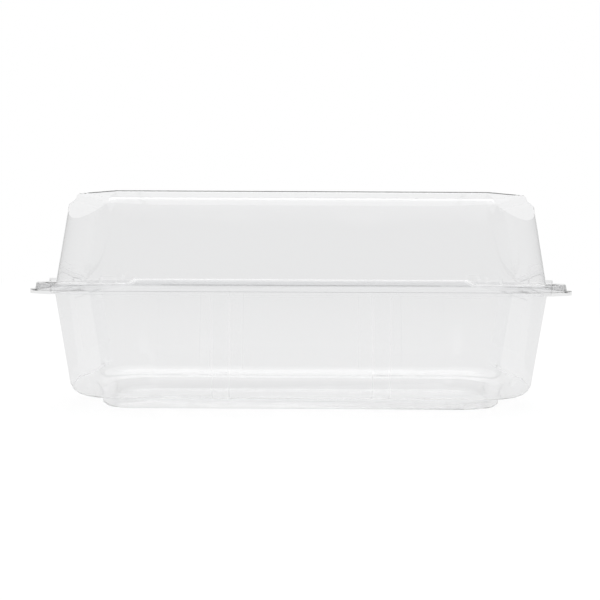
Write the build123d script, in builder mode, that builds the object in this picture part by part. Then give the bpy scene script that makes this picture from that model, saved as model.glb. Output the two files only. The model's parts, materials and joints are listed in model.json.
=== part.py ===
from build123d import *
import os
from math import cos, radians, sin, sqrt, tan

# Clear food pack with a hinged lid, thermoformed in one thin plastic sheet, shown closed.
# Z is up, X runs along the pack, the opening edge faces -Y and the hinge is at +Y.
# The origin is the middle of the face that the pack stands on.

# Sheet and mould
sheet = 0.35  # thickness of the formed sheet
wall_draft = 9.6  # slope of the tray's walls, degrees off vertical
lid_draft = 9.0  # slope of the lid's walls
nest_gap = 0.2  # gap between the lid's rim and the tray's rim under it

# Tray
parting_height = 50.4  # plane in which the two lips meet
tray_length = 209.0  # outside the walls, at the parting plane
tray_depth = 115.4
tray_corner = 30.0
skirt_height = 6.0  # underside of the floor around the foot
skirt_round = 7.0
foot_length = 174.6
foot_depth = 66.4
foot_corner = 19.0
foot_round = 2.5
ledge_step = 2.0  # the tray's mouth is this much wider than its walls, all round
ledge_drop = 1.6  # and starts this far under the parting plane

# Sunk panels in the front and back walls, between upright ribs
panel_sink = 1.0
panel_half_span = 71.7
panel_top = parting_height - 2.4
rib_width = 7.3
rib_places = (32.4, 54.1)  # middle of each rib, measured from the middle of the wall

# Pockets in the end walls, open upwards under the ledge
pocket_width = 63.0
pocket_low = 12.0
pocket_sink = 7.6
pocket_slope = 6.0  # slope of the pocket's sides, degrees
pocket_corner = 6.0
pocket_flare = 3.6  # the sides open out at 45 degrees down to this depth

# Rim and lip, common to both halves
rim_reach = 7.8  # from the tray's wall to the foot of the rim's outer face
rim_rise = 3.2  # top of the lid's rim above the parting plane
rim_draft = 7.0
rim_round = 1.0  # on the lid only
lip_width = 2.0
lip_turn_drop = 1.1  # the tray's lip turns down by this much at the front corners
lip_turn_start = 55.0  # from this far along the front edge
lip_turn_slant = 2.5

# Lock bar along the front of the rim
bar_rise = 5.0  # top of the bar above the parting plane
bar_half_span = 65.3
bar_slant = 3.2  # how far each end of the bar slopes out on its way down to the rim

# Lugs on the lid's rim
lug_rise = 6.1
end_lug_rise = 4.6
lug_width = 5.3
lug_length = 15.0  # across the rim, and on into the lid's wall
lug_reach = 3.6  # from the tray's wall to the top of the lug's outer face
lug_draft = 12.0
lug_corner = 0.8  # across each upright corner
front_lug_place = 76.7  # along the front edge, from the middle
back_lug_place = 87.3
end_lug_place = 22.0  # along each end, from the middle

# Lid
lid_set_in = 0.2  # the lid's walls stand this far inside the tray's, at the parting plane
shoulder_height = 88.2
shoulder_round = 4.2
shoulder_width = 2.4
crown_height = 91.1
crown_round = 1.6
petal_reach = 20.7  # each corner facet starts this far along the crown's sides from its square corner
petal_slope = 48.0  # slope of the facets, degrees off level

# Hinge
hinge_end_gap = 2.0  # from each end of the hinge to the start of the corner

half_depth = tray_depth / 2
half_length = tray_length / 2
edge_reach = rim_reach + lip_width
crown_set_in = (
    lid_set_in
    + (shoulder_height - parting_height) * tan(radians(lid_draft))
    + shoulder_width
    + (crown_height - shoulder_height) * tan(radians(lid_draft))
)
spare = 5.0  # how far a cutting shape runs past what it cuts
overlap = 1.0  # how far a shape reaches into the one that it stands on
level_slack = 0.01  # edges whose ends differ in height by less than this are level
air_top = parting_height + bar_rise + spare


def run(height, draft):
    """How far a sloping wall moves sideways over a height."""
    return height * tan(radians(draft))


def flat_leg(radius, turn):
    """Leg of a bevel whose flat touches, at its middle, a round between two faces that turn by an angle."""
    return radius * tan(radians(turn / 4)) / cos(radians(turn / 2))


def rising_block(length, depth, corner, low, high, draft, top_round=0.0, flats=1):
    """Block with rounded corners that narrows going up, measured across its low end.

    The round along its top edge is made of one flat or of three.
    """
    turn = 90 - draft
    with BuildPart() as block:
        with BuildSketch(Plane.XY.offset(low)):
            RectangleRounded(length, depth, corner)
        extrude(amount=high - low, taper=draft)
        if top_round > 0:
            chamfer(block.edges().group_by(Axis.Z)[-1], flat_leg(top_round, turn))
        if flats == 3:
            levels = block.edges().filter_by(GeomType.LINE).filter_by(Plane.XY).group_by(Axis.Z)
            top, under = levels[-1][0].center().Z, levels[-2][0].center().Z
            rings = block.edges().filter_by_position(Axis.Z, under - level_slack, top + level_slack)
            level_rings = [edge for edge in rings if edge.bounding_box().size.Z < level_slack]
            chamfer(level_rings, flat_leg(top_round, turn / 2))
    return block.part


def sinking_block(length, depth, corner, high, low, draft, low_round=0.0, flats=1):
    """Block with rounded corners that narrows going down, measured across its high end."""
    upside_down = rising_block(length, depth, corner, -high, -low, draft, low_round, flats)
    return mirror(upside_down, about=Plane.XY, mode=Mode.PRIVATE)


def slab(grow, low, high):
    """Flat plate with the outline of the flange, grown all round."""
    reach = 2 * (edge_reach + grow)
    with BuildPart() as plate:
        with BuildSketch(Plane.XY.offset(low)):
            RectangleRounded(
                tray_length + reach, tray_depth + reach, tray_corner + edge_reach + grow
            )
        extrude(amount=high - low)
    return plate.part


def rim_block(deep, rise):
    """Raised rim, with its skin this deep under the lid's outer skin. The tray's is left square."""
    low = parting_height - overlap
    across = rim_reach - deep / cos(radians(rim_draft)) + run(parting_height - low, rim_draft)
    return rising_block(
        tray_length + 2 * across,
        tray_depth + 2 * across,
        tray_corner + across,
        low,
        parting_height + rise - deep,
        rim_draft,
        rim_round - deep if deep <= sheet else 0.0,
    )


def lock_bar(deep):
    """Taller stretch of the rim along the front edge, with sloping ends."""
    low = parting_height - overlap
    high = air_top
    slant = bar_slant / (bar_rise - rim_rise)
    top = parting_height + bar_rise - deep
    half_top = bar_half_span - deep
    with BuildPart() as stretch:
        with BuildSketch(Plane.XZ.offset(half_depth - tray_corner)):
            with BuildLine():
                Polyline(
                    (half_top - slant * (high - top), high),
                    (half_top + slant * (top - low), low),
                    (-half_top - slant * (top - low), low),
                    (-half_top + slant * (high - top), high),
                    close=True,
                )
            make_face()
        extrude(amount=tray_corner + edge_reach + spare)
        add(rim_block(deep, bar_rise), mode=Mode.INTERSECT)
    return stretch.part


def rim_shape(deep):
    """Rim and lock bar together."""
    with BuildPart() as shape:
        add(rim_block(deep, rim_rise))
        add(lock_bar(deep))
    return shape.part


def lug(deep, rise, places):
    """Small boxes on the lid's rim, each given by its middle, measured across the rim's top, and its turn."""
    grow = run(rise, lug_draft) - deep / cos(radians(lug_draft))
    length = lug_length + 2 * grow
    width = lug_width + 2 * grow
    with BuildPart() as boxes:
        with BuildSketch(Plane.XY.offset(parting_height)) as plan:
            for x, y, turn in places:
                with Locations(Location((x, y, 0), (0, 0, turn))):
                    Rectangle(width, length)
            chamfer(plan.vertices(), lug_corner)
        extrude(amount=rise - deep, taper=lug_draft)
    return boxes.part


def lugs(deep):
    """The lugs: two each at the front, the back and the ends."""
    out = lug_reach - lug_length / 2
    level = [(side * front_lug_place, -half_depth - out, 0) for side in (-1, 1)]
    level += [(side * back_lug_place, half_depth + out, 0) for side in (-1, 1)]
    ends = [(side * (half_length + out), y, 90) for side in (-1, 1) for y in (-end_lug_place, end_lug_place)]
    with BuildPart() as boxes:
        add(lug(deep, lug_rise, level))
        add(lug(deep, end_lug_rise, ends))
    return boxes.part


def sunk_plate(face, low, width, slope, deep, skin):
    """Plate sunk square to a wall, with sloping sides, its size measured at the wall. It runs out at the top."""
    grow = skin / cos(radians(slope)) + run(spare, slope)
    top = parting_height + spare
    with BuildPart() as plate:
        with BuildSketch(face.offset(spare)) as plan:
            with Locations((0, (top + low) / 2 - face.origin.Z)):
                Rectangle(width + 2 * grow, top - low + 2 * grow)
            chamfer(plan.vertices(), flat_leg(pocket_corner + grow, 90))
            chamfer(plan.vertices(), flat_leg(pocket_corner + grow, 45))
        extrude(amount=-(spare + deep + skin), taper=slope)
    return plate.part


def end_pocket(skin):
    """Shape of one end wall's pocket, whose sides open out at its edge."""
    slant = radians(wall_draft)
    face = Plane(
        origin=(half_length, 0, parting_height), x_dir=(0, 1, 0), z_dir=(cos(slant), 0, -sin(slant))
    )
    widen = run(pocket_flare, pocket_slope)
    with BuildPart() as pocket:
        add(sunk_plate(face, pocket_low - widen, pocket_width + 2 * widen, pocket_slope, pocket_sink, skin))
        add(
            sunk_plate(
                face, pocket_low - pocket_flare, pocket_width + 2 * pocket_flare, 45, pocket_flare + sheet, skin
            )
        )
    return pocket.part


def tray_cup(skin, sink=0.0):
    """Space inside the tray's walls, with the front and back walls sunk in by an amount."""
    side = skin / cos(radians(wall_draft))
    return sinking_block(
        tray_length - 2 * side,
        tray_depth - 2 * (side + sink),
        tray_corner - side,
        parting_height,
        skirt_height + skin,
        wall_draft,
        skirt_round - skin,
        flats=3,
    )


def tray_panels(skin):
    """What the sunk panels take away from the space inside the tray."""
    low = skirt_height + skin
    high = panel_top + skin
    edges = [-panel_half_span]
    for place in sorted([-place for place in rib_places] + list(rib_places)):
        edges += [place - rib_width / 2, place + rib_width / 2]
    edges += [panel_half_span]
    with BuildPart() as panels:
        with BuildSketch(Plane.XY.offset(low)):
            for start, end in zip(edges[0::2], edges[1::2]):
                with Locations(((start + end) / 2, 0)):
                    Rectangle(end - start + 2 * skin, tray_depth + 2 * spare)
        extrude(amount=high - low)
        add(tray_cup(skin, panel_sink), mode=Mode.SUBTRACT)
    return panels.part


def tray_space(skin):
    """Everything above one face of the tray's sheet, inside its rim."""
    side = skin / cos(radians(wall_draft))
    ledge = parting_height - ledge_drop + skin
    widen = ledge_step - side + run(air_top + skin - parting_height, wall_draft)
    mouth = sinking_block(
        tray_length + 2 * widen,
        tray_depth + 2 * widen,
        tray_corner + widen,
        air_top + skin,
        ledge,
        wall_draft,
    )
    widen = run(overlap, wall_draft) - side
    foot = sinking_block(
        foot_length + 2 * widen,
        foot_depth + 2 * widen,
        foot_corner + widen,
        skirt_height + skin + overlap,
        skin,
        wall_draft,
        foot_round - skin,
    )
    pocket = end_pocket(skin)
    with BuildPart() as space:
        add(tray_cup(skin))
        add(tray_panels(skin), mode=Mode.SUBTRACT)
        add(pocket, mode=Mode.SUBTRACT)
        add(mirror(pocket, about=Plane.YZ, mode=Mode.PRIVATE), mode=Mode.SUBTRACT)
        add(mouth)
        add(foot)
    return space.part


def above_tray(skin):
    """Everything above one face of the tray's sheet, rim and lip included."""
    deep = 2 * sheet + nest_gap - skin
    grow = spare if skin > 0 else 0
    with BuildPart() as region:
        add(slab(grow, parting_height - sheet + skin, air_top + skin))
        add(rim_shape(deep), mode=Mode.SUBTRACT)
        add(tray_space(skin))
    return region.part


def lip_turn():
    """Turned-down edge of the tray's lip, round the two front corners."""
    low = parting_height - sheet - lip_turn_drop
    with BuildPart() as edge:
        add(slab(0, low, parting_height - sheet))
        add(slab(-sheet, low - spare, parting_height), mode=Mode.SUBTRACT)
        with BuildSketch(Plane.XZ.offset(half_depth - tray_corner)) as span:
            for side in (-1, 1):
                with BuildLine():
                    Polyline(
                        (side * lip_turn_start, parting_height),
                        (side * (half_length + edge_reach + spare), parting_height),
                        (side * (half_length + edge_reach + spare), low - spare),
                        (side * (lip_turn_start + lip_turn_slant * (parting_height - low + spare)), low - spare),
                        close=True,
                    )
                make_face()
        extrude(amount=tray_corner + edge_reach + spare, mode=Mode.INTERSECT)
    return edge.part


def corner_petals(skin):
    """What the four sloping facets cut from the lid's top corners."""
    slant = radians(petal_slope)
    near = crown_set_in + petal_reach / 2
    facet = Plane(
        origin=(half_length - near, half_depth - near, crown_height),
        x_dir=(-1, 1, 0),
        z_dir=(sin(slant) / sqrt(2), sin(slant) / sqrt(2), cos(slant)),
    )
    with BuildPart() as cuts:
        with BuildSketch(facet.offset(-skin)):
            Rectangle(2 * tray_corner, 2 * tray_corner)
        extrude(amount=tray_corner)
        mirror(about=Plane.XZ)
        mirror(about=Plane.YZ)
    return cuts.part


def under_lid(skin):
    """Everything under one face of the lid's sheet, which is this deep in it."""
    side = skin / cos(radians(lid_draft))
    walls = -lid_set_in - side
    dome = rising_block(
        tray_length + 2 * walls,
        tray_depth + 2 * walls,
        tray_corner + walls,
        parting_height,
        shoulder_height - skin,
        lid_draft,
        shoulder_round - skin,
    )
    walls -= run(shoulder_height - skin - parting_height, lid_draft) + shoulder_width - run(overlap, lid_draft)
    crown = rising_block(
        tray_length + 2 * walls,
        tray_depth + 2 * walls,
        tray_corner + walls,
        shoulder_height - skin - overlap,
        crown_height - skin,
        lid_draft,
        crown_round - skin,
    )
    with BuildPart() as region:
        add(dome)
        add(crown)
        add(corner_petals(skin), mode=Mode.SUBTRACT)
        add(rim_shape(skin))
        add(lugs(skin))
        if skin > 0:
            add(slab(spare, parting_height - 2 * spare, parting_height))
        else:
            add(slab(0, parting_height, parting_height + sheet))
    return region.part


with BuildPart() as base_tray:
    add(above_tray(0.0))
    add(above_tray(sheet), mode=Mode.SUBTRACT)
    add(lip_turn())

with BuildPart() as lid:
    add(under_lid(0.0))
    add(under_lid(sheet), mode=Mode.SUBTRACT)

# The folded hinge: a half-round crease that joins the back edges of the two lips.
with BuildPart() as living_hinge:
    hinge_half_length = half_length - tray_corner - hinge_end_gap
    with BuildSketch(Plane.YZ.offset(-hinge_half_length)):
        with Locations((half_depth + edge_reach, parting_height)):
            Circle(sheet)
            with Locations((-sheet, 0)):
                Rectangle(2 * sheet, 3 * sheet, mode=Mode.SUBTRACT)
    extrude(amount=2 * hinge_half_length)

os.makedirs("parts", exist_ok=True)
base_tray.part.label = "base_tray"
export_step(base_tray.part, "parts/base_tray.step")
lid.part.label = "lid"
export_step(lid.part, "parts/lid.step")
living_hinge.part.label = "living_hinge"
export_step(living_hinge.part, "parts/living_hinge.step")
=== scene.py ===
"""Looks of a clear food pack with a hinged lid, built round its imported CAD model."""

import json
import logging
from dataclasses import dataclass, field
from enum import Enum
from math import cos, pi, radians

import bpy
from mathutils import Matrix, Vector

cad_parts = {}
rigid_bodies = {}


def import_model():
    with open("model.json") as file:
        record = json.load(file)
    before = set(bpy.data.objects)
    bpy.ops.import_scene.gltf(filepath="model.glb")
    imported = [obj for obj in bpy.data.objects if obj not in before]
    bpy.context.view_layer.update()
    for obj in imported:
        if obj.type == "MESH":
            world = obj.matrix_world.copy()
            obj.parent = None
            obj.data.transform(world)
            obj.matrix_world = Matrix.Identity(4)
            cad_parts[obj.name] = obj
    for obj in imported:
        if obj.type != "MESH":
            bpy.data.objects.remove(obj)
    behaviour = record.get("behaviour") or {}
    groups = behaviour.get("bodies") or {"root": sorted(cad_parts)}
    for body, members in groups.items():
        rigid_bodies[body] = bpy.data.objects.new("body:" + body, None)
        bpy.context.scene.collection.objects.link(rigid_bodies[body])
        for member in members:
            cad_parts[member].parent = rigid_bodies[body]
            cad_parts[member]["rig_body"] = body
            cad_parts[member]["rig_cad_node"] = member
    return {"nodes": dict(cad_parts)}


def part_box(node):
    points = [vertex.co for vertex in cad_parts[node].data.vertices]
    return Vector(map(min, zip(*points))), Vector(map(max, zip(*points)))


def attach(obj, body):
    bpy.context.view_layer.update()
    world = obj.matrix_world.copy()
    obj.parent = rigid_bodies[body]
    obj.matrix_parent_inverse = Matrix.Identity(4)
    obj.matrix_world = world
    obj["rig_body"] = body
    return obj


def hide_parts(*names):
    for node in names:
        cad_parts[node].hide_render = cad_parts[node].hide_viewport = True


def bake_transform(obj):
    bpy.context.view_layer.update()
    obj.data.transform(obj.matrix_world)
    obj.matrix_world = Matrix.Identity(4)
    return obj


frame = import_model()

MM = 0.001
log = logging.getLogger("clear_pack")


class Half(Enum):
    """The two moulded halves of the pack, each with its CAD node and its body."""

    TRAY = ("base_tray", "tray")
    LID = ("lid", "lid")

    @property
    def node(self) -> str:
        """Name of the half's CAD node."""
        return self.value[0]

    @property
    def body(self) -> str:
        """Name of the body that the half moves with."""
        return self.value[1]


class RayKind(Enum):
    """Outputs of the Light Path node that the studio uses."""

    CAMERA = "Is Camera Ray"
    GLOSSY = "Is Glossy Ray"
    CLEAR = "Is Transmission Ray"
    SOFT = "Is Diffuse Ray"
    MIRRORED = "Glossy Depth"


class NodeSheet:
    """Short way to add and join the nodes of one material or world."""

    def __init__(self, tree: bpy.types.NodeTree) -> None:
        """Empty the tree and keep it.

        Args:
            tree: Node tree of a material or of the world.
        """
        tree.nodes.clear()
        self.tree = tree

    def add(self, kind: str, **settings: object) -> bpy.types.Node:
        """Add one node.

        Args:
            kind: Blender's type name of the node, without the ShaderNode at its start.
            **settings: Attributes to set on the node.

        Returns:
            The new node.
        """
        node = self.tree.nodes.new("ShaderNode" + kind)
        for name, value in settings.items():
            setattr(node, name, value)
        return node

    def join(self, source: bpy.types.NodeSocket, target: bpy.types.NodeSocket) -> None:
        """Link an output to an input."""
        self.tree.links.new(source, target)

    def maths(self, operation: str, first: object, second: object = 0.0) -> bpy.types.NodeSocket:
        """Add a Math node.

        Args:
            operation: Blender's name of the operation.
            first: Socket or number.
            second: Socket or number, where the operation needs one.

        Returns:
            The node's result.
        """
        node = self.add("Math", operation=operation)
        for place, value in enumerate((first, second)):
            if isinstance(value, bpy.types.NodeSocket):
                self.join(value, node.inputs[place])
            else:
                node.inputs[place].default_value = value
        return node.outputs[0]


@dataclass(frozen=True)
class ClearSheetFinish:
    """Clear, glossy, thermoformed sheet: so thin that light goes straight through, and slightly uneven.

    Attributes:
        tint: Colour that one face of the sheet lets through.
        bend: Refractive index by which the sheet bends what is seen through it.
        gloss: Refractive index that sets how much it mirrors where light meets it from the air.
        haze: Roughness of the surface.
        ripple_width: Width of the slow waves in the surface, in millimetres.
        ripple_height: Height of those waves, in millimetres.
        ripple_detail: How many finer waves ride on them.
        grain_width: Width of the fine unevenness, in millimetres.
        grain_height: Height of the fine unevenness, in millimetres.
        grain_detail: How many finer grains ride on it.
    """

    tint: tuple[float, float, float, float] = (0.994, 0.995, 0.997, 1.0)
    bend: float = 1.004
    gloss: float = 1.62
    haze: float = 0.03
    ripple_width: float = 26.0
    ripple_height: float = 0.16
    ripple_detail: float = 1.0
    grain_width: float = 5.0
    grain_height: float = 0.006
    grain_detail: float = 2.0

    @staticmethod
    def noise(
        sheet: NodeSheet, place: bpy.types.NodeSocket, width: float, height: float, detail: float
    ) -> bpy.types.NodeSocket:
        """Make an uneven height over the surface.

        Args:
            sheet: Where the nodes go.
            place: Place on the surface, in metres.
            width: Width of one wave, in millimetres.
            height: Height of one wave, in millimetres.
            detail: How many finer waves ride on it.

        Returns:
            The height, in metres.
        """
        node = sheet.add("TexNoise", noise_dimensions="3D")
        node.inputs["Scale"].default_value = 1 / (width * MM)
        node.inputs["Detail"].default_value = detail
        sheet.join(place, node.inputs["Vector"])
        return sheet.maths("MULTIPLY", node.outputs[0], height * MM)

    def material(self, name: str) -> bpy.types.Material:
        """Make the material.

        Args:
            name: Name of the new material.

        Returns:
            The material, ready to be assigned.
        """
        made = bpy.data.materials.new(name)
        made.use_nodes = True
        sheet = NodeSheet(made.node_tree)
        place = sheet.add("TexCoord").outputs["Object"]
        waves = self.noise(sheet, place, self.ripple_width, self.ripple_height, self.ripple_detail)
        grain = self.noise(sheet, place, self.grain_width, self.grain_height, self.grain_detail)
        bump = sheet.add("Bump")
        bump.inputs["Strength"].default_value = 1.0
        bump.inputs["Distance"].default_value = 1.0
        sheet.join(sheet.maths("ADD", waves, grain), bump.inputs["Height"])
        shader = sheet.add("BsdfPrincipled")
        shader.inputs["Base Color"].default_value = self.tint
        shader.inputs["Roughness"].default_value = self.haze
        shader.inputs["IOR"].default_value = self.bend
        shader.inputs["Transmission Weight"].default_value = 1.0
        shader.inputs["Coat Weight"].default_value = 1.0
        outer = sheet.maths("SUBTRACT", 1.0, sheet.add("NewGeometry").outputs["Backfacing"])
        sheet.join(outer, shader.inputs["Coat Weight"])
        shader.inputs["Coat IOR"].default_value = self.gloss
        shader.inputs["Coat Roughness"].default_value = self.haze
        sheet.join(bump.outputs[0], shader.inputs["Coat Normal"])
        sheet.join(shader.outputs[0], sheet.add("OutputMaterial").inputs["Surface"])
        return made


def deselect_all() -> None:
    """Leave object mode with nothing selected."""
    if bpy.context.object and bpy.context.object.mode != "OBJECT":
        bpy.ops.object.mode_set(mode="OBJECT")
    bpy.ops.object.select_all(action="DESELECT")


def choose(piece: bpy.types.Object) -> None:
    """Make one object the only selected one, and the active one."""
    deselect_all()
    piece.select_set(True)
    bpy.context.view_layer.objects.active = piece


@dataclass
class FormedShell:
    """One half of the pack: the moulded sheet, taken over from the CAD and given soft edges.

    Attributes:
        half: Which half it is.
        finish: Its material.
        weld: Vertices closer than this are one, in millimetres.
        flat_weight: How much the larger faces rule the shading of the small ones beside them.
        smooth_angle: Edges that turn less than this are shaded smooth, in degrees.
        facet_slope: Slope of the corner facets off level, in degrees.
        facet_slack: How far a face's normal may be off such a facet's, as a share of 1.
    """

    half: Half
    finish: bpy.types.Material
    weld: float = 0.002
    flat_weight: int = 95
    smooth_angle: float = 50.0
    facet_slope: float = 48.0
    facet_slack: float = 0.004
    piece: bpy.types.Object | None = field(default=None, init=False)

    def copy_node(self) -> None:
        """Copy the CAD node's mesh into an object of its own, as one welded skin."""
        source = frame["nodes"][self.half.node]
        self.piece = source.copy()
        self.piece.data = source.data.copy()
        self.piece.parent = None
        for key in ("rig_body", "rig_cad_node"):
            if key in self.piece:
                del self.piece[key]
        self.piece.name = self.half.body + "_shell"
        self.piece.data.name = self.piece.name
        bpy.context.scene.collection.objects.link(self.piece)
        choose(self.piece)
        if self.piece.data.has_custom_normals:
            bpy.ops.mesh.customdata_custom_splitnormals_clear()
        bpy.ops.object.mode_set(mode="EDIT")
        bpy.ops.mesh.select_all(action="SELECT")
        bpy.ops.mesh.remove_doubles(threshold=self.weld * MM)
        bpy.ops.mesh.mark_sharp(clear=True)
        bpy.ops.object.mode_set(mode="OBJECT")

    def crease_facets(self) -> None:
        """Keep the edges of the lid's corner facets crisp."""
        mesh = self.piece.data
        lean = cos(radians(self.facet_slope))
        facets = {
            face.index
            for face in mesh.polygons
            if abs(abs(face.normal.z) - lean) < self.facet_slack
            and abs(abs(face.normal.x) - abs(face.normal.y)) < self.facet_slack
        }
        uses: dict[tuple[int, int], int] = {}
        for index in facets:
            for key in mesh.polygons[index].edge_keys:
                uses[key] = uses.get(key, 0) + 1
        for edge in mesh.edges:
            if uses.get(edge.key, 0) == 1:
                edge.use_edge_sharp = True

    def dress(self) -> None:
        """Shade it smooth and give it its finish."""
        choose(self.piece)
        bpy.ops.object.shade_smooth_by_angle(angle=radians(self.smooth_angle))
        self.crease_facets()
        flatten = self.piece.modifiers.new("flat faces", "WEIGHTED_NORMAL")
        flatten.mode = "FACE_AREA"
        flatten.weight = self.flat_weight
        flatten.keep_sharp = True
        bpy.ops.object.modifier_apply(modifier=flatten.name)
        self.piece.data.materials.clear()
        self.piece.data.materials.append(self.finish)

    def build(self) -> bpy.types.Object:
        """Make the half and put it on its body.

        Returns:
            The finished piece.
        """
        self.copy_node()
        self.dress()
        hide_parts(self.half.node)
        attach(self.piece, self.half.body)
        return self.piece


@dataclass
class HingeWeb:
    """The folded crease that joins the back edges of the two lips.

    Attributes:
        finish: Its material.
        sides: Number of sides of the round that the crease is half of.
        lengths: Number of stretches along the crease.
        smooth_angle: Edges that turn less than this are shaded smooth, in degrees.
    """

    finish: bpy.types.Material
    sides: int = 24
    lengths: int = 16
    smooth_angle: float = 40.0
    piece: bpy.types.Object | None = field(default=None, init=False)

    def build(self) -> bpy.types.Object:
        """Make the crease as a half-round between the two halves.

        Returns:
            The finished piece.
        """
        low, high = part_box("living_hinge")
        axis_y = low.y
        axis_z = (low.z + high.z) / 2
        radius = (high.z - low.z) / 2
        length = high.x - low.x
        deselect_all()
        bpy.ops.mesh.primitive_cylinder_add(
            vertices=self.sides,
            radius=radius,
            depth=length,
            location=(0, axis_y, axis_z),
            rotation=(0, pi / 2, 0),
        )
        self.piece = bpy.context.object
        self.piece.name = "hinge_crease"
        self.piece.data.name = self.piece.name
        bpy.ops.object.transform_apply(location=True, rotation=True, scale=True)
        bpy.ops.object.mode_set(mode="EDIT")
        bpy.ops.mesh.select_all(action="SELECT")
        bpy.ops.mesh.bisect(
            plane_co=(0, axis_y, axis_z), plane_no=(0, 1, 0), clear_inner=True, use_fill=True
        )
        for number in range(1, self.lengths):
            bpy.ops.mesh.select_all(action="SELECT")
            bpy.ops.mesh.bisect(
                plane_co=(low.x + length * number / self.lengths, axis_y, axis_z), plane_no=(1, 0, 0)
            )
        bpy.ops.mesh.select_all(action="SELECT")
        bpy.ops.mesh.normals_make_consistent(inside=False)
        bpy.ops.object.mode_set(mode="OBJECT")
        bpy.ops.object.shade_smooth_by_angle(angle=radians(self.smooth_angle))
        self.piece.data.materials.append(self.finish)
        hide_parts("living_hinge")
        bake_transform(self.piece)
        return self.piece


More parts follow.
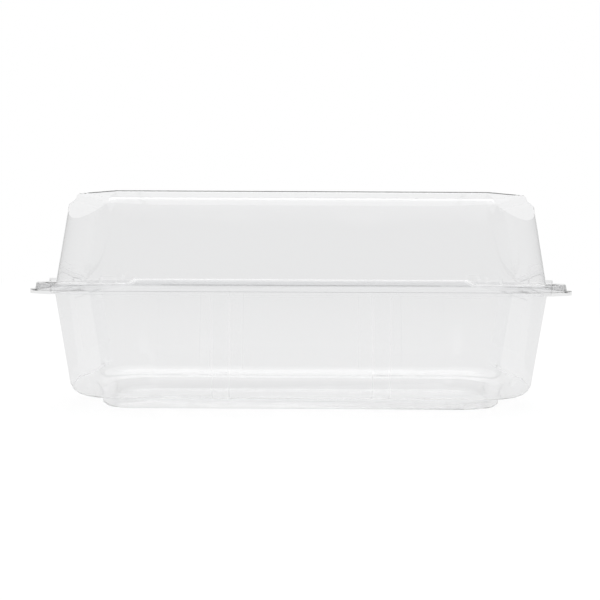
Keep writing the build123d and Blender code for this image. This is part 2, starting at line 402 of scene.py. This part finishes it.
@dataclass
class Studio:
    """Pale floor, white surroundings and soft light from above.

    Attributes:
        floor_size: Side of the square floor, in metres.
        floor_gap: How far the floor lies under the foot, in millimetres.
        backdrop: Strength of the surroundings where they are seen directly.
        behind_sheet: Their strength where they are seen through the sheet.
        soft_level: Their strength as light on matt surfaces.
        overhead: Strength of the mirrored soft box overhead.
        box_start: Upward share of a direction at which that box begins, and where it is full.
        ceiling_level: Strength of the mirrored ceiling round the box.
        ceiling_start: The same two places for that ceiling.
        flat_level: Strength of the mirrored white flats before and behind the table.
        side_level: Strength of the mirrored flats at its sides.
        room_level: Strength of the rest of the mirrored room.
        flat_half_width: Sideways reach of the flats, as a share.
        flat_height: Upward reach of the flats, as a share.
        flat_blur: Width of their soft edges, as a share.
        room_colour: Colour of all that is mirrored.
        mirror_count: A ray mirrored more often than this meets the mirrored room.
        floor_colour: Colour of the floor's matt part.
        floor_glow: How much the floor adds for the camera, so that it meets the backdrop.
        glow_behind_sheet: How much it adds where it is seen through the sheet.
        glow_mirrored: How much it adds where it is mirrored.
        white: Colour of the surroundings where they are seen.
        lamp_place: Where the lamp hangs, in metres.
        lamp_size: Its width, in metres.
        lamp_power: Its power, in watts.
    """

    floor_size: float = 6.0
    floor_gap: float = 0.05
    backdrop: float = 1.0
    behind_sheet: float = 0.83
    soft_level: float = 0.85
    overhead: float = 1.9
    box_start: tuple[float, float] = (0.6, 0.76)
    ceiling_level: float = 1.35
    ceiling_start: tuple[float, float] = (0.38, 0.48)
    flat_level: float = 1.1
    side_level: float = 0.5
    room_level: float = 0.5
    flat_half_width: float = 0.34
    flat_height: float = 0.25
    flat_blur: float = 0.05
    room_colour: tuple[float, float, float, float] = (0.8, 0.8, 0.8, 1.0)
    mirror_count: float = 0.5
    floor_colour: tuple[float, float, float, float] = (0.2, 0.2, 0.2, 1.0)
    floor_glow: float = 0.84
    glow_behind_sheet: float = 0.66
    glow_mirrored: float = 0.55
    white: tuple[float, float, float, float] = (1.0, 1.0, 1.0, 1.0)
    lamp_place: tuple[float, float, float] = (0.0, 0.1, 1.1)
    lamp_size: float = 1.0
    lamp_power: float = 3.0

    @staticmethod
    def fade(
        sheet: NodeSheet, value: bpy.types.NodeSocket, dark: float, bright: float
    ) -> bpy.types.NodeSocket:
        """Fade smoothly from 0 to 1.

        Args:
            sheet: Where the nodes go.
            value: What the fade follows.
            dark: Value at which the result is 0.
            bright: Value at which the result is 1.

        Returns:
            The faded value.
        """
        node = sheet.add("MapRange", interpolation_type="SMOOTHSTEP")
        node.inputs["From Min"].default_value = min(dark, bright)
        node.inputs["From Max"].default_value = max(dark, bright)
        node.inputs["To Min"].default_value = float(dark > bright)
        node.inputs["To Max"].default_value = float(dark < bright)
        sheet.join(value, node.inputs["Value"])
        return node.outputs[0]

    def surround(self) -> None:
        """Make the world: white where seen, a bright ceiling over pale flats where mirrored."""
        world = bpy.data.worlds.new("studio")
        bpy.context.scene.world = world
        world.use_nodes = True
        sheet = NodeSheet(world.node_tree)
        rays = sheet.add("LightPath").outputs
        direction = sheet.add("TexCoord").outputs["Generated"]
        split = sheet.add("SeparateXYZ")
        sheet.join(direction, split.inputs[0])
        box = sheet.maths(
            "MULTIPLY", self.fade(sheet, split.outputs["Z"], *self.box_start), self.overhead
        )
        ceiling = sheet.maths(
            "MULTIPLY", self.fade(sheet, split.outputs["Z"], *self.ceiling_start), self.ceiling_level
        )
        sideways = [
            sheet.maths(
                "MULTIPLY",
                self.fade(
                    sheet,
                    sheet.maths("ABSOLUTE", split.outputs[axis]),
                    self.flat_half_width + self.flat_blur,
                    self.flat_half_width,
                ),
                level,
            )
            for axis, level in (("X", self.flat_level), ("Y", self.side_level))
        ]
        upward = self.fade(
            sheet,
            sheet.maths("ABSOLUTE", split.outputs["Z"]),
            self.flat_height + self.flat_blur,
            self.flat_height,
        )
        flats = sheet.maths("MULTIPLY", sheet.maths("MAXIMUM", *sideways), upward)
        lit = sheet.maths("MAXIMUM", sheet.maths("MAXIMUM", box, flats), self.room_level)
        lit = sheet.maths("MAXIMUM", lit, ceiling)
        mirrored = sheet.maths("GREATER_THAN", rays[RayKind.MIRRORED.value], self.mirror_count)
        room = sheet.add("Background")
        room.inputs["Color"].default_value = self.room_colour
        sheet.join(lit, room.inputs["Strength"])
        seen = sheet.maths("MULTIPLY", rays[RayKind.CAMERA.value], self.backdrop)
        seen_through = sheet.maths("MULTIPLY", rays[RayKind.CLEAR.value], self.behind_sheet)
        seen = sheet.maths("MAXIMUM", seen, seen_through)
        soft = sheet.maths("MULTIPLY", rays[RayKind.SOFT.value], self.soft_level)
        plain = sheet.add("Background")
        plain.inputs["Color"].default_value = self.white
        sheet.join(sheet.maths("MAXIMUM", seen, soft), plain.inputs["Strength"])
        mix = sheet.add("MixShader")
        sheet.join(mirrored, mix.inputs[0])
        sheet.join(plain.outputs[0], mix.inputs[1])
        sheet.join(room.outputs[0], mix.inputs[2])
        sheet.join(mix.outputs[0], sheet.add("OutputWorld").inputs["Surface"])

    def floor_finish(self) -> bpy.types.Material:
        """Make the floor's material.

        Returns:
            Matt grey that also glows where it is seen or mirrored, so that it meets the backdrop.
        """
        made = bpy.data.materials.new("pale_floor")
        made.use_nodes = True
        sheet = NodeSheet(made.node_tree)
        rays = sheet.add("LightPath").outputs
        seen = sheet.maths("MULTIPLY", rays[RayKind.CAMERA.value], self.floor_glow)
        seen_through = sheet.maths("MULTIPLY", rays[RayKind.CLEAR.value], self.glow_behind_sheet)
        mirrored = sheet.maths("MULTIPLY", rays[RayKind.GLOSSY.value], self.glow_mirrored)
        level = sheet.maths("MAXIMUM", sheet.maths("MAXIMUM", seen, seen_through), mirrored)
        matt = sheet.add("BsdfDiffuse")
        matt.inputs["Color"].default_value = self.floor_colour
        glow = sheet.add("Emission")
        sheet.join(level, glow.inputs["Strength"])
        both = sheet.add("AddShader")
        sheet.join(matt.outputs[0], both.inputs[0])
        sheet.join(glow.outputs[0], both.inputs[1])
        sheet.join(both.outputs[0], sheet.add("OutputMaterial").inputs["Surface"])
        return made

    def lay_floor(self) -> None:
        """Put the floor just under the foot of the tray."""
        deselect_all()
        bpy.ops.mesh.primitive_plane_add(size=self.floor_size, location=(0, 0, -self.floor_gap * MM))
        floor = bpy.context.object
        floor.name = "floor"
        floor.data.materials.append(self.floor_finish())

    def light(self) -> None:
        """Hang one wide, soft lamp over the pack."""
        deselect_all()
        bpy.ops.object.light_add(type="AREA", location=self.lamp_place)
        lamp = bpy.context.object
        lamp.name = "ceiling_lamp"
        lamp.data.shape = "DISK"
        lamp.data.size = self.lamp_size
        lamp.data.energy = self.lamp_power

    def build(self) -> None:
        """Make the whole studio."""
        self.surround()
        self.lay_floor()
        self.light()
        bpy.context.scene.view_settings.view_transform = "Standard"


@dataclass
class FrontCamera:
    """Level camera a little above the pack's middle, straight in front of it.

    Attributes:
        distance: From the pack's middle, along the floor, in metres.
        height: Above the floor, in metres.
        aside: Sideways place, in metres.
        roll: Turn about the line of sight, in degrees.
        lens: Focal length, in millimetres.
        sensor: Width of the sensor, in millimetres.
        nearest: Distance from which things are seen, in metres.
        rise: Upward shift of the picture, as a share of its width.
    """

    distance: float = 0.476
    height: float = 0.0607
    aside: float = -0.0005
    roll: float = 0.27
    lens: float = 63.0
    sensor: float = 36.0
    nearest: float = 0.01
    rise: float = -0.0571

    def build(self) -> None:
        """Place the camera and make it the scene's own."""
        data = bpy.data.cameras.new("front_camera")
        data.lens = self.lens
        data.shift_y = self.rise
        data.sensor_width = self.sensor
        data.clip_start = self.nearest
        camera = bpy.data.objects.new("front_camera", data)
        bpy.context.scene.collection.objects.link(camera)
        turn = Matrix.Rotation(radians(90), 4, "X") @ Matrix.Rotation(radians(self.roll), 4, "Z")
        camera.matrix_world = Matrix.Translation((self.aside, -self.distance, self.height)) @ turn
        bpy.context.scene.camera = camera


def main() -> None:
    """Build the studio and the pack, and report each piece."""
    logging.basicConfig(level=logging.INFO, format="%(name)s: %(message)s")
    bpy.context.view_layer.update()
    FrontCamera().build()
    Studio().build()
    clear = ClearSheetFinish().material("clear_sheet")
    pieces = [FormedShell(half, clear).build() for half in Half]
    pieces.append(HingeWeb(clear).build())
    for piece in pieces:
        log.info("%s: %d faces", piece.name, len(piece.data.polygons))


if __name__ == "__main__":
    main()
